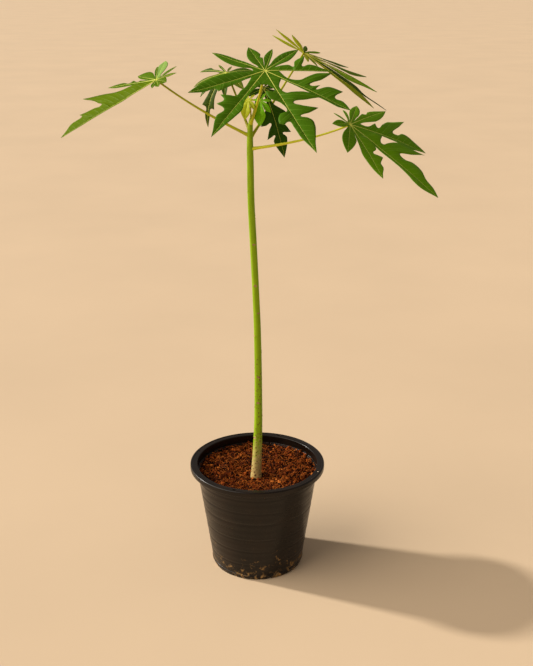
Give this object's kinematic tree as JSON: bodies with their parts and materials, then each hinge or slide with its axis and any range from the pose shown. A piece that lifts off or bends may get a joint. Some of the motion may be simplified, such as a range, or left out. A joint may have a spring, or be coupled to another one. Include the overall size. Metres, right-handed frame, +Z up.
{
  "type": "potted papaya tree",
  "caption": "Young papaya plant with one slender stem, long-stalked lobed leaves and tiny new leaves at the tip, in a tapered black nursery pot of coir.",
  "frame": {"origin": "centre of the pot's flat underside", "axes": "+Z up along the pot's axis to the crown, -Y towards the side the widest leaf faces, +X to the right seen from that side"},
  "size_m": [0.4937, 0.2877, 0.7756],
  "materials": {
    "pot": "satin",
    "soil": "rough",
    "stem": "satin",
    "stalk": "satin",
    "leaf": "satin",
    "young_leaf": "satin"
  },
  "bodies": {
    "root": {"pot": "pot", "soil": "soil", "stem": "stem", "stalk_front": "stalk", "leaf_front": "leaf", "stalk_right": "stalk", "leaf_right": "leaf", "stalk_left": "stalk", "leaf_left": "leaf", "stalk_upper": "stalk", "leaf_upper": "leaf", "stalk_behind": "stalk", "leaf_behind": "leaf", "stalk_lower": "stalk", "leaf_lower": "leaf", "stalk_young_left": "stalk", "leaf_young_left": "young_leaf", "stalk_young_right": "stalk", "leaf_young_right": "young_leaf"}
  },
  "joints": []
}
